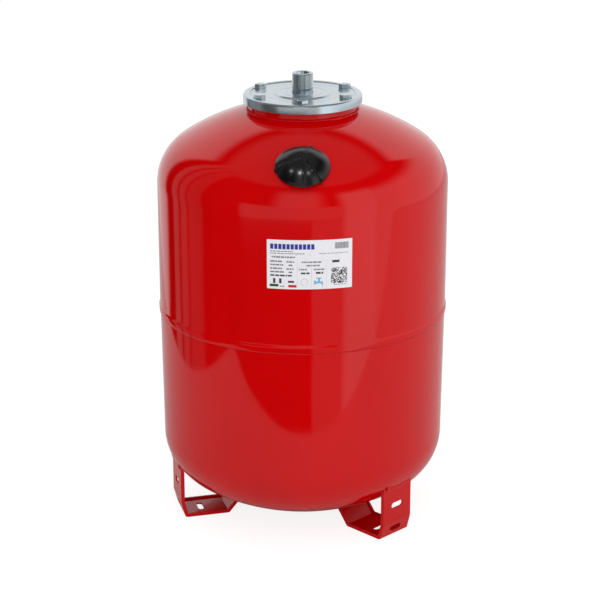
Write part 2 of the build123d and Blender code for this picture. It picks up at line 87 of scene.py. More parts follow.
cap_joint = next(j for j in frame["joints"] if j["name"] == "dust_cap_turn")
VALVE_OUT = Vector(cap_joint["axis"])
VALVE_AT = Vector(cap_joint["pos_m"]) / MM


def head_drop(side_r):
    """How far a dished head's crown centre lies below its straight side's end."""
    return math.sqrt((CROWN_R - KNUCKLE_R) ** 2 - (side_r - KNUCKLE_R) ** 2)


LOWER_KNUCKLE_Z = LOWER_LOW.z + CROWN_R - head_drop(LOWER_BASE_R)
APEX_Z = SHELL_HIGH.z + CROWN_R - math.sqrt(CROWN_R**2 - NECK_R**2)
UPPER_KNUCKLE_Z = APEX_Z - CROWN_R + head_drop(SHELL_R)


def linear(code):
    """sRGB hex code as the linear red, green and blue that the shader works in."""
    srgb = np.array([int(code[i : i + 2], 16) for i in (1, 3, 5)]) / 255
    low, high = srgb / 12.92, ((srgb + 0.055) / 1.055) ** 2.4
    return tuple(float(v) for v in np.where(srgb <= 0.04045, low, high))


# ---- shapes ----


def rounded(corners, radii, steps=6):
    """A closed outline whose corners are swapped for arcs.

    Each arc's centre lies on the line that halves its corner, radius / sin(half the corner's
    angle) away from it, and the arc sweeps from one touching point to the other.
    """
    p = np.asarray(corners, float)
    r = np.broadcast_to(np.asarray(radii, float), len(p))
    back = np.roll(p, 1, 0) - p
    ahead = np.roll(p, -1, 0) - p
    back = back / np.linalg.norm(back, axis=1)[:, None]
    ahead = ahead / np.linalg.norm(ahead, axis=1)[:, None]
    half = 0.5 * np.arccos(np.clip((back * ahead).sum(1), -1, 1))
    reach = (r / np.tan(half))[:, None]
    middle = back + ahead
    middle = middle / np.maximum(np.linalg.norm(middle, axis=1), 1e-9)[:, None]
    centre = p + middle * (r / np.sin(half))[:, None]
    start = p + back * reach - centre
    finish = p + ahead * reach - centre
    first = np.arctan2(start[:, 1], start[:, 0])
    last = np.arctan2(finish[:, 1], finish[:, 0])
    sweep = (last - first + math.pi) % TURN - math.pi
    angle = first[:, None] + sweep[:, None] * np.linspace(0, 1, steps)
    arcs = centre[:, None] + r[:, None, None] * np.stack((np.cos(angle), np.sin(angle)), -1)
    flat = arcs.reshape(-1, 2)
    return flat[np.linalg.norm(flat - np.roll(flat, 1, 0), axis=1) > 1e-6]


def line(start, end, count):
    """Evenly spaced points from start up to, but not at, end."""
    share = np.linspace(0, 1, count, endpoint=False)[:, None]
    return np.asarray(start, float) * (1 - share) + np.asarray(end, float) * share


def eased(x):
    """0 below 0, 1 above 1, and 3x^2 - 2x^3 between."""
    x = np.clip(x, 0, 1)
    return x * x * (3 - 2 * x)


def dished_head(side_r, base_z, inset, end_r, way, steps):
    """Profile of a dished head, from its straight side to end_r: a small knuckle arc that
    runs on into a large crown arc, both moved inwards by inset."""
    drop = head_drop(side_r)
    join = math.atan2(drop, side_r - KNUCKLE_R)
    finish = math.acos(end_r / (CROWN_R - inset))
    knuckle = np.linspace(0, join, steps)
    crown = np.linspace(join, finish, steps)[1:]
    small, large = KNUCKLE_R - inset, CROWN_R - inset
    r = np.concatenate((side_r - KNUCKLE_R + small * np.cos(knuckle), large * np.cos(crown)))
    z = np.concatenate((small * np.sin(knuckle), large * np.sin(crown) - drop))
    return np.stack((r, base_z + way * z), -1)


def around(radius, height, angle):
    """Points of a surface of turning: (r cos t, r sin t, z) for every profile row and angle."""
    radius, height, angle = np.broadcast_arrays(radius, height, angle)
    return np.stack((radius * np.cos(angle), radius * np.sin(angle), height), -1)


def at_valve(points):
    """Moves points drawn round Z so that their Z runs along the valve's axis."""
    out = np.array(VALVE_OUT)
    side = np.array((1.0, 0.0, 0.0))
    slope = np.cross(out, side)
    return np.array(VALVE_AT) + points @ np.stack((side, slope, out))


def hexagon(across, angle, first=0.0):
    """Radius of a hexagon at each angle: half its width over the cosine of the angle from
    the middle of the nearest flat."""
    return across / 2 / np.cos((angle - first) % (TURN / 6) - TURN / 12)


def thread(radius, depth, pitch, height, angle):
    """Radius of a right-hand screw thread: a rounded V that repeats once per pitch of height
    and climbs one pitch per turn, flattened a little at its crests."""
    phase = TURN * height / pitch - angle
    wave = 0.5 - 0.5 * np.cos(phase)
    return radius - depth * np.clip(1.12 * wave - 0.06, 0, 1)


def quads(rows, columns, closed_rows, closed_columns):
    """Corner numbers of the four-sided faces between neighbouring rows and columns."""
    r = np.arange(rows if closed_rows else rows - 1)[:, None]
    c = np.arange(columns if closed_columns else columns - 1)[None]
    ahead, beside = (r + 1) % rows, (c + 1) % columns
    corners = (r * columns + c, r * columns + beside, ahead * columns + beside, ahead * columns + c)
    return np.stack(np.broadcast_arrays(*corners), -1).reshape(-1, 4)


def enclosed(points, faces):
    """Signed volume of a closed surface: a sixth of the sum of each triangle's triple product."""
    a, b, c, d = (points[faces[:, i]] for i in range(4))
    return (np.cross(a, b) * c).sum() + (np.cross(a, c) * d).sum()


def put(name, grids, material, body, stands_for=(), sharp=35.0):
    """Makes one object from grids of points in millimetres.

    Each grid is (points, closed_rows, closed_columns). A grid that encloses a space is turned
    to face outwards, and points that fall together at poles and seams are merged.
    """
    points, faces, count = [], [], 0
    for grid, closed_rows, closed_columns in grids:
        flat = grid.reshape(-1, 3)
        face = quads(grid.shape[0], grid.shape[1], closed_rows, closed_columns)
        if closed_columns and enclosed(flat - flat.mean(0), face) < 0:
            face = face[:, ::-1]
        points.append(flat)
        faces.append(face + count)
        count += len(flat)
    mesh = bpy.data.meshes.new(name)
    mesh.from_pydata((np.concatenate(points) * MM).tolist(), [], np.concatenate(faces).tolist())
    work = bmesh.new()
    work.from_mesh(mesh)
    bmesh.ops.remove_doubles(work, verts=work.verts, dist=2e-7)
    work.to_mesh(mesh)
    work.free()
    return dress(bpy.data.objects.new(name, mesh), material, body, stands_for, sharp)


def dress(piece, material, body, stands_for=(), sharp=35.0):
    """Links a piece, gives it its finish and its body, and hides the CAD nodes it stands for."""
    bpy.context.scene.collection.objects.link(piece)
    piece.data.materials.clear()
    piece.data.materials.append(material)
    piece.data.shade_smooth()
    piece.data.set_sharp_from_angle(angle=math.radians(sharp))
    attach(piece, body)
    if stands_for:
        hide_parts(*stands_for)
    return piece


def finish_node(name, material):
    """Gives a carried-over CAD node its finish. Its points and faces stay as they are."""
    node = frame["nodes"][name]
    node.data.materials.clear()
    node.data.materials.append(material)


# ---- finishes ----


def add(tree, kind, values=None, links=None, **settings):
    """Adds a node, sets its settings and input values, and links inputs to other outputs."""
    made = tree.nodes.new(kind)
    for key, value in settings.items():
        setattr(made, key, value)
    for key, value in (values or {}).items():
        made.inputs[key].default_value = value
    for key, source in (links or {}).items():
        tree.links.new(source, made.inputs[key])
    return made


def maths(tree, operation, *inputs):
    """Adds a maths node, whose inputs are numbers or other nodes' outputs."""
    made = add(tree, "ShaderNodeMath", operation=operation)
    for i, given in enumerate(inputs):
        if isinstance(given, bpy.types.NodeSocket):
            tree.links.new(given, made.inputs[i])
        else:
            made.inputs[i].default_value = given
    return made.outputs[0]


def surface(name, **values):
    """A new finish: its node tree, shader and Object coordinates."""
    material = bpy.data.materials.new(name)
    material.use_nodes = True
    tree = material.node_tree
    tree.nodes.clear()
    shader = add(tree, "ShaderNodeBsdfPrincipled", values)
    add(tree, "ShaderNodeOutputMaterial", links={"Surface": shader.outputs[0]})
    place = add(tree, "ShaderNodeTexCoord").outputs["Object"]
    return material, tree, shader, place


def grain(tree, place, size_mm, detail=2.0, rough=0.5, stretch=None):
    """Noise whose blobs are about size_mm across, in 3-D, longer along stretched axes."""
    if stretch:
        place = add(
            tree, "ShaderNodeMapping", {"Scale": stretch}, {"Vector": place}
        ).outputs["Vector"]
    values = {"Scale": 1 / (size_mm * MM), "Detail": detail, "Roughness": rough}
    return add(tree, "ShaderNodeTexNoise", values, {"Vector": place}).outputs["Fac"]


def spread(tree, source, low, high, from_low=0.3, from_high=0.7):
    """Maps noise to a range of values."""
    values = {"From Min": from_low, "From Max": from_high, "To Min": low, "To Max": high}
    return add(tree, "ShaderNodeMapRange", values, {"Value": source}).outputs["Result"]


def tints(tree, source, stops):
    """Colours along a ramp: stops are (position, linear colour)."""
    ramp = add(tree, "ShaderNodeValToRGB", links={"Fac": source})
    elements = ramp.color_ramp.elements
    elements[0].position, elements[0].color = stops[0][0], (*stops[0][1], 1)
    elements[1].position, elements[1].color = stops[-1][0], (*stops[-1][1], 1)
    for position, colour in stops[1:-1]:
        elements.new(position).color = (*colour, 1)
    return ramp.outputs["Color"]


def raised(tree, shader, *layers):
    """Bumps, one on another: each layer is (height, its real height in millimetres, strength)."""
    normal = None
    for height, depth_mm, strength in layers:
        links = {"Height": height}
        if normal:
            links["Normal"] = normal
        values = {"Distance": depth_mm * MM, "Strength": strength}
        normal = add(tree, "ShaderNodeBump", values, links).outputs["Normal"]
    tree.links.new(normal, shader.inputs["Normal"])


def shade_of(colour, factor):
    """A lighter or darker version of a colour."""
    return tuple(min(1.0, float(c) * factor) for c in colour[:3])


def red_enamel():
    """Stoved red polyester enamel, sprayed: deep, wet-looking, with a fine orange peel 2 mm
    across and a faint unevenness of colour where the spray passes overlap."""
    look = bpy.context.scene.vessel_colours
    material, tree, shader, place = surface("stoved_red_enamel", IOR=1.41)
    passes = grain(tree, place, 90, 2, stretch=(1, 1, 0.35))
    base = look.enamel
    ramp = tints(tree, passes, [(0.3, shade_of(base, 0.95)), (0.7, shade_of(base, 1.04))])
    tree.links.new(ramp, shader.inputs["Base Color"])
    gloss = spread(tree, grain(tree, place, 25, 3), look.enamel_roughness * 0.85,
                   look.enamel_roughness * 1.2)
    tree.links.new(gloss, shader.inputs["Roughness"])
    peel = grain(tree, place, 2.2, 1)
    sag = grain(tree, place, 14, 1, stretch=(1, 1, 0.5))
    raised(tree, shader, (sag, 0.05, 0.25), (peel, 0.012, 0.35))
    return material


def zinc_plate():
    """Passivated zinc plate on pressed steel: bright grey with a faint blue and straw bloom,
    fine rolling lines, and small dull spots a few millimetres across."""
    look = bpy.context.scene.vessel_colours
    material, tree, shader, place = surface("passivated_zinc_plate", Metallic=0.85)
    bloom = grain(tree, place, 22, 3)
    zinc = look.zinc
    straw = tuple(float(c) * t for c, t in zip(zinc, (1.02, 1.0, 0.94)))
    blue = tuple(float(c) * t for c, t in zip(zinc, (0.92, 0.98, 1.06)))
    stops = [(0.32, blue), (0.5, tuple(zinc)), (0.68, straw)]
    tree.links.new(tints(tree, bloom, stops), shader.inputs["Base Color"])
    spots = grain(tree, place, 4.5, 4, 0.6)
    tree.links.new(spread(tree, spots, 0.17, 0.27), shader.inputs["Roughness"])
    lines = grain(tree, place, 1.4, 3, stretch=(1, 0.06, 1))
    raised(tree, shader, (spots, 0.004, 0.1), (lines, 0.002, 0.1))
    return material


def moulded_black(name, roughness, grain_mm, code):
    """Injection-moulded black plastic: a smooth sheen from a polished mould, over a faint
    grain, and slightly paler where packing rubbed it."""
    material, tree, shader, place = surface(name, IOR=1.43)
    rub = grain(tree, place, 6, 4, 0.6)
    base = linear(code)
    stops = [(0.35, base), (0.8, shade_of(base, 1.6))]
    tree.links.new(tints(tree, rub, stops), shader.inputs["Base Color"])
    sheen = spread(tree, rub, roughness - 0.03, roughness + 0.06)
    tree.links.new(sheen, shader.inputs["Roughness"])
    fine = grain(tree, place, grain_mm, 2)
    raised(tree, shader, (fine, 0.01, 0.25))
    return material


def turned_brass():
    """Turned brass, lightly tarnished: warm yellow, with tool rings 0.3 mm apart round the
    valve's axis and browner patches."""
    look = bpy.context.scene.vessel_colours
    material, tree, shader, place = surface("turned_brass", Metallic=1.0)
    patches = grain(tree, place, 3, 3)
    stops = [(0.35, shade_of(look.brass, 0.72)), (0.6, tuple(look.brass))]
    tree.links.new(tints(tree, patches, stops), shader.inputs["Base Color"])
    tree.links.new(spread(tree, patches, 0.38, 0.22), shader.inputs["Roughness"])
    along = add(
        tree, "ShaderNodeVectorMath", {1: tuple(VALVE_OUT)}, {0: place}, operation="DOT_PRODUCT"
    ).outputs["Value"]
    wave = maths(tree, "SINE", maths(tree, "MULTIPLY", along, TURN / (0.3 * MM)))
    raised(tree, shader, (patches, 0.02, 0.2), (wave, 0.004, 0.3))
    return material


def spring_wire():
    """Drawn stainless spring wire: pale, bright, with drawing lines along it."""
    material, tree, shader, place = surface("drawn_stainless_wire", Metallic=1.0)
    streaks = grain(tree, place, 0.2, 3)
    stops = [(0.3, linear("#9a9a98")), (0.7, linear("#d6d6d2"))]
    tree.links.new(tints(tree, streaks, stops), shader.inputs["Base Color"])
    tree.links.new(spread(tree, streaks, 0.18, 0.35), shader.inputs["Roughness"])
    raised(tree, shader, (streaks, 0.003, 0.3))
    return material


def moulded_rubber():
    """Moulded EPDM rubber: dull near-black with a dusty bloom and a fine matt grain."""
    material, tree, shader, place = surface("moulded_epdm_rubber", IOR=1.52)
    bloom = grain(tree, place, 12, 4, 0.6)
    stops = [(0.3, linear("#141414")), (0.75, linear("#2b2a29"))]
    tree.links.new(tints(tree, bloom, stops), shader.inputs["Base Color"])
    tree.links.new(spread(tree, bloom, 0.62, 0.8), shader.inputs["Roughness"])
    raised(tree, shader, (grain(tree, place, 0.8, 2), 0.03, 0.5))
    return material


def label_film():
    """White polyester label film under a clear gloss layer: cool white, faintly mottled, with
    the slow ripples of a sticker smoothed down by hand."""
    look = bpy.context.scene.vessel_colours
    material, tree, shader, place = surface("white_polyester_label_film", IOR=1.5)
    mottle = grain(tree, place, 8, 3)
    stops = [(0.3, shade_of(look.label, 0.96)), (0.7, tuple(look.label))]
    tree.links.new(tints(tree, mottle, stops), shader.inputs["Base Color"])
    tree.links.new(spread(tree, mottle, 0.3, 0.42), shader.inputs["Roughness"])
    ripple, fine = grain(tree, place, 9, 1), grain(tree, place, 0.5, 1)
    raised(tree, shader, (ripple, 0.03, 0.3), (fine, 0.004, 0.3))
    return material


def printed_ink(name, code):
    """Thermal-transfer ink on film: thin, slightly broken colour with a satin sheen."""
    material, tree, shader, place = surface(name, IOR=1.5)
    broken = grain(tree, place, 0.7, 2)
    base = linear(code)
    stops = [(0.35, base), (0.75, shade_of(base, 1.35))]
    tree.links.new(tints(tree, broken, stops), shader.inputs["Base Color"])
    tree.links.new(spread(tree, broken, 0.35, 0.5), shader.inputs["Roughness"])
    return material


# ---- user settings ----


class VesselSizes(bpy.types.PropertyGroup):
    """Sizes that may be changed without leaving the CAD model."""

    wave_depth: bpy.props.FloatProperty(
        name="Sheet waviness", description="Depth of the rolled sheet's shallow waves",
        default=0.00010, min=0, max=0.0005, precision=5, unit="LENGTH",
    )
    bead_ripple: bpy.props.FloatProperty(
        name="Weld ripple", description="Height of a weld bead's ripples as a share of its leg",
        default=0.11, min=0, max=0.3, subtype="FACTOR",
    )
    thread_pitch: bpy.props.FloatProperty(
        name="Water thread pitch", description="Pitch of the G1 parallel pipe thread",
        default=0.002309, min=0.001, max=0.004, precision=6, unit="LENGTH",
    )
    thread_depth: bpy.props.FloatProperty(
        name="Water thread depth", description="How deep the thread is drawn: G1 is 1.48 mm",
        default=0.0009, min=0.0005, max=0.002, precision=6, unit="LENGTH",
    )
    groove_depth: bpy.props.FloatProperty(
        name="Cover groove", description="Depth of the three grooves in the valve cover",
        default=0.0013, min=0, max=0.0015, precision=5, unit="LENGTH",
    )
    edge_round: bpy.props.FloatProperty(
        name="Foot edge", description="Rounding of the feet's sheared edges",
        default=0.0005, min=0, max=0.001, precision=5, unit="LENGTH",
    )


class VesselColours(bpy.types.PropertyGroup):
    """Colours and gloss of the finishes."""

    enamel: bpy.props.FloatVectorProperty(
        name="Enamel", description="Colour of the body's enamel", subtype="COLOR",
        default=linear("#d30205"), min=0, max=1,
    )
    enamel_roughness: bpy.props.FloatProperty(
        name="Enamel roughness", description="How far the enamel blurs what it reflects",
        default=0.07, min=0, max=1, subtype="FACTOR",
    )
    zinc: bpy.props.FloatVectorProperty(
        name="Zinc", description="Colour of the zinc plate", subtype="COLOR",
        default=linear("#c3cdd3"), min=0, max=1,
    )
    brass: bpy.props.FloatVectorProperty(
        name="Brass", description="Colour of the valve's brass", subtype="COLOR",
        default=linear("#c9a560"), min=0, max=1,
    )
    label: bpy.props.FloatVectorProperty(
        name="Label", description="Colour of the label film", subtype="COLOR",
        default=linear("#f7f6fb"), min=0, max=1,
    )


class VesselStudio(bpy.types.PropertyGroup):
    """Camera and light."""

    camera_at: bpy.props.FloatVectorProperty(
        name="Camera", description="Where the camera stands", subtype="TRANSLATION",
        default=(0, -2.923, 1.3465), unit="LENGTH",
    )
    camera_lean: bpy.props.FloatProperty(
        name="Camera lean", description="Angle of the camera up from straight down",
        default=math.radians(70.89), subtype="ANGLE",
    )
    lens: bpy.props.FloatProperty(
        name="Lens", description="Focal length on a 36 mm wide sensor", default=115.3, min=20,
    )
    fill: bpy.props.FloatProperty(
        name="Fill", description="Brightness of the even light from all round", default=0.745,
        min=0,
    )


class PieceOperator:
    """What the operators have in common."""

    bl_options = {"REGISTER", "UNDO"}


# ---- pieces ----


def sheet_waves(angle, height, low, high, turns, phase):
    """Depth of the rolled sheet's waves: three sines round the vessel that drift with
    height, faded out towards the dished heads."""
    depth = bpy.context.scene.vessel_sizes.wave_depth / MM
    drift = height / 100
    wave = (
        0.55 * np.sin(turns * angle + 0.7 * drift + phase)
        + 0.35 * np.sin((2 * turns + 1) * angle - 0.5 * drift + 2 * phase)
        + 0.30 * np.sin((3 * turns + 2) * angle + 0.9 * drift + 3 * phase)
        + 0.30 * np.sin(5 * angle + 1.7 * drift + phase)
    )
    return depth * wave * eased((height - low) / 50) * eased((high - height) / 60)


class BuildShells(PieceOperator, bpy.types.Operator):
    """Both drawn steel halves: dished heads on straight sides, with the upper half's belled
    rim lapping over the lower half"""

    bl_idname = "vessel.shells"
    bl_label = "Shells"

    def execute(self, context):
        enamel = red_enamel()
        angle = np.linspace(0, TURN, 320, endpoint=False)[None]
        bell_in = BELL_R - WALL
        rise = np.linspace(0, 1, 10)
        flare = np.stack((BELL_R - (BELL_R - SHELL_R) * eased(rise), SEAM_Z + 8 + 4 * rise), -1)
        lip = rounded(
            [(bell_in, SEAM_Z + 6), (bell_in, SEAM_Z), (BELL_R, SEAM_Z), (BELL_R, SEAM_Z + 6)],
            [0, 0.4, 0.5, 0],
        )
        side = line((SHELL_R, SEAM_Z + 14), (SHELL_R, UPPER_KNUCKLE_Z), 26)
        head = dished_head(SHELL_R, UPPER_KNUCKLE_Z, 0, NECK_R, 1, 36)
        inner = dished_head(SHELL_R, UPPER_KNUCKLE_Z, WALL, NECK_R, 1, 12)[::-1]
        inside = line((SHELL_R - WALL, UPPER_KNUCKLE_Z), (SHELL_R - WALL, SEAM_Z + 12), 4)[1:]
        outline = np.concatenate((lip, flare, side, head, inner, inside, [[bell_in, SEAM_Z + 9]]))
        r, z = outline[:, :1], outline[:, 1:]
        r = r + sheet_waves(angle, z, SEAM_Z + 12, UPPER_KNUCKLE_Z + 20, 9, 1.3)
        put("upper_shell_pressing", [(around(r, z, angle), True, True)], enamel,
            "vessel", ["upper_shell"])

        rim_z = LOWER_HIGH.z
        rim = [(LOWER_R - WALL, rim_z), (LOWER_R, rim_z), (LOWER_R, SEAM_Z)]
        side = line((LOWER_R, SEAM_Z - 1), (LOWER_BASE_R, LOWER_KNUCKLE_Z), 26)
        head = dished_head(LOWER_BASE_R, LOWER_KNUCKLE_Z, 0, 0, -1, 36)
        inner = dished_head(LOWER_BASE_R, LOWER_KNUCKLE_Z, WALL, 0, -1, 12)[::-1]
        outline = np.concatenate((inner, rim, side, head))
        r, z = outline[:, :1], outline[:, 1:]
        r = r + sheet_waves(angle, z, LOWER_KNUCKLE_Z - 20, SEAM_Z, 8, 0.4)
        put("lower_shell_pressing", [(around(r, z, angle), False, True)], enamel,
            "vessel", ["lower_shell"])
        return {"FINISHED"}


def bead(corner_r, corner_z, leg, way, ripples, steps, seed):
    """A weld bead in the corner between a wall and a ledge.

    Its section is a rounded triangle. Its leg grows and shrinks once per ripple, leaning as
    it crosses the bead, and wanders slowly as a hand-held torch does.
    """
    ripple = bpy.context.scene.vessel_sizes.bead_ripple
    angle = np.linspace(0, TURN, steps, endpoint=False)[None]
    turn = np.linspace(0, math.pi / 2, 8)[:, None]
    wander = 0.10 * np.sin(7 * angle + seed) + 0.07 * np.sin(16 * angle + 2 * seed)
    wander = wander + 0.05 * np.sin(41 * angle + 3 * seed)
    crest = np.sin(ripples * angle + 1.6 * np.cos(turn))
    size = leg * (1 + ripple * crest * np.sin(2 * turn) + wander)
    r = corner_r + size * np.cos(turn) ** 1.3
    z = corner_z + way * size * np.sin(turn) ** 1.3
    r = np.concatenate((r, np.full_like(angle, corner_r - 0.3)))
    z = np.concatenate((z, np.full_like(angle, corner_z - 0.3 * way)))
    return around(r, z, angle)


class BuildWelds(PieceOperator, bpy.types.Operator):
    """Rippled weld beads round the girth, under the neck ring and at the valve's socket, and enamel
    on the welds along the feet"""

    bl_idname = "vessel.welds"
    bl_label = "Weld beads"

    def execute(self, context):
        enamel = bpy.data.materials["stoved_red_enamel"]
        girth = bead(LOWER_R, SEAM_Z - 0.1, 1.9, -1, 440, 2200, 0.5)
        ring_foot = APEX_Z - CROWN_R + math.sqrt(CROWN_R**2 - RING_R**2)
        neck = bead(RING_R, ring_foot - 0.8, 2.8, 1, 260, 1560, 1.9)
        socket = at_valve(bead(9.0, 0.1, 2.5, 1, 26, 208, 2.6))
        for name, shape, node in (("girth", girth, "girth_weld"), ("neck", neck, "neck_weld"),
                                  ("socket", socket, "boss_weld")):
            put(f"{name}_weld_bead", [(shape, True, True)], enamel, "vessel",
                [node], 60)
        for side in ("front_left", "front_right", "rear"):
            finish_node(f"{side}_foot_weld", enamel)
        return {"FINISHED"}


class BuildNeck(PieceOperator, bpy.types.Operator):
    """Welded neck ring that carries the counter-flange, and the bladder inside"""

    bl_idname = "vessel.neck"
    bl_label = "Neck ring and bladder"

    def execute(self, context):
        enamel = bpy.data.materials["stoved_red_enamel"]
        angle = np.linspace(0, TURN, 240, endpoint=False)[None]
        under_r = np.linspace(NECK_R, RING_R, 12)
        under_z = APEX_Z - CROWN_R + np.sqrt((CROWN_R + 0.1) ** 2 - under_r**2)
        face, recess_r, recess = RING_HIGH.z, 68.1, 3
        top = rounded(
            [(RING_R, 660), (RING_R, face), (recess_r, face), (recess_r, face - recess),
             (NECK_R, face - recess), (NECK_R, 662)],
            [0, 0.8, 0.3, 0.1, 0.4, 0], 4,
        )
        outline = np.concatenate((np.stack((under_r, under_z), -1), top))
        ring = around(outline[:, :1], outline[:, 1:], angle)
        put("neck_ring_turning", [(ring, True, True)], enamel, "vessel",
            ["neck_ring"])
        finish_node("bladder", moulded_rubber())
        return {"FINISHED"}


class BuildCounterFlange(PieceOperator, bpy.types.Operator):
    """Pressed and zinc-plated counter-flange with a turned-down rim, a raised middle, two
    shallow pressed rings and round flats for the bolt heads"""

    bl_idname = "vessel.counter_flange"
    bl_label = "Counter-flange"

    def execute(self, context):
        top = FLANGE_HIGH.z - 0.1
        seat = FLANGE_HIGH.z - 1.3
        hole, sheet = NIPPLE_R + 0.1, 3.0
        angle = np.linspace(0, TURN, 480, endpoint=False)[None]
        face = np.concatenate((
            line((hole, top), (26, top), 3), line((26, top), (50, top), 26),
            line((50, top), (72, top), 12), line((72, top), (FLANGE_R - 4, top), 32),
        ))
        low = FLANGE_LOW.z
        rim = rounded(
            [(FLANGE_R - 14, top), (FLANGE_R, top), (FLANGE_R, low), (FLANGE_R - sheet, low),
             (FLANGE_R - sheet, top - sheet), (FLANGE_R - 14, top - sheet)],
            [0, 4.0, 0.7, 0.7, 1.2, 0], 9,
        )[1:-1]
        outline = np.concatenate((face, rim, face[::-1] - (0, sheet)))
        r, z = outline[:, :1], outline[:, 1:]
        nearest = (angle - math.radians(30) + TURN / 12) % (TURN / 6) - TURN / 12
        from_bolt = np.sqrt(r**2 + BOLTS_R**2 - 2 * r * BOLTS_R * np.cos(nearest))
        ring_start, pocket_r, step_r, step = 79.6, 9.6, 43, 2.0
        ring = eased((r - ring_start) / 1.6) * eased((from_bolt - pocket_r) / 1.5)
        middle = 1 - eased((r - step_r) / 3.2)
        dish = 0.5 * np.exp(-(((r - 33) / 3.2) ** 2)) + 0.3 * np.exp(-(((r - 62) / 4.0) ** 2))
        inside = r < FLANGE_R - 5
        z = z + np.where(inside, (seat - top) * (1 - ring) + step * middle - 1.8 * dish, 0)
        put("counter_flange_pressing", [(around(r, z, angle), True, True)], zinc_plate(),
            "vessel", ["counter_flange"])
        return {"FINISHED"}


class BuildFlangeBolts(PieceOperator, bpy.types.Operator):
    """Six zinc-plated hexagon bolts with chamfered heads"""

    bl_idname = "vessel.flange_bolts"
    bl_label = "Flange bolts"

    def execute(self, context):
        seat, head, across = FLANGE_HIGH.z - 1.2, 6.4, 16.0
        angle = np.linspace(0, TURN, 96, endpoint=False)[None]
        edge = hexagon(across, angle)
        share = np.concatenate((np.linspace(0, 0.8, 5), np.linspace(0.84, 1.0, 9)))[:, None]
        r_top = share * edge
        chamfer = head - math.tan(math.radians(28)) * (r_top - 0.94 * across / 2)
        z_top = np.minimum(head, chamfer)
        shank = np.array([(5.0, 0), (5.0, -13.5), (4.2, -16), (0, -16)])
        flat = np.ones_like(angle)
        r = np.concatenate((r_top, edge, shank[:, :1] * flat))
        z = np.concatenate((z_top, 0 * flat, shank[:, 1:] * flat))
        one = around(r, z + seat, angle)
        turns = math.radians(30) + np.arange(6) * TURN / 6
        spin = np.array((0.10, 0.62, 0.31, 0.85, 0.44, 0.02))
        grids = []
        for where, twist in zip(turns, spin):
            c, s = math.cos(twist), math.sin(twist)
            turned = one @ np.array(((c, s, 0), (-s, c, 0), (0, 0, 1)))
            offset = np.array((BOLTS_R * math.cos(where), BOLTS_R * math.sin(where), 0))
            grids.append((turned + offset, False, True))
        put("flange_bolt_set", grids, bpy.data.materials["passivated_zinc_plate"],
            "vessel", ["flange_bolts"], 28)
        return {"FINISHED"}


class BuildNipple(PieceOperator, bpy.types.Operator):
    """Threaded steel water connection welded through the counter-flange"""

    bl_idname = "vessel.nipple"
    bl_label = "Water connection"

    def execute(self, context):
        sizes = context.scene.vessel_sizes
        angle = np.linspace(0, TURN, 144, endpoint=False)[None]
        top, tail, bore = NIPPLE_HIGH.z, NIPPLE_LOW.z, 10.5
        start = top - 22
        z = np.concatenate((
            [tail, tail, FLANGE_HIGH.z, start - 0.8],
            np.linspace(start - 0.4, top, 112),
            [top, top - 0.5, tail + 0.5],
        ))[:, None]
        body = np.concatenate((
            [bore + 0.5, NIPPLE_R - 0.3, NIPPLE_R - 0.42, NIPPLE_R - 0.42],
            np.full(112, NIPPLE_R), [bore + 0.5, bore, bore],
        ))[:, None]
        cut = thread(NIPPLE_R, sizes.thread_depth / MM, sizes.thread_pitch / MM, z, angle)
        fade = eased((z - start) / 1.2)
        cut = NIPPLE_R - (NIPPLE_R - cut) * fade
        mouth = NIPPLE_R - 1.5 + (top - z) * 1.1
        rows = np.arange(len(z))[:, None]
        threaded = (rows >= 4) & (rows < 116)
        r = np.where(threaded, np.minimum(cut, mouth), body)
        put("water_nipple_turning", [(around(r, z, angle), True, True)],
            bpy.data.materials["passivated_zinc_plate"], "vessel",
            ["water_nipple"], 50)
        finish_node("nipple_weld", bpy.data.materials["passivated_zinc_plate"])
        return {"FINISHED"}


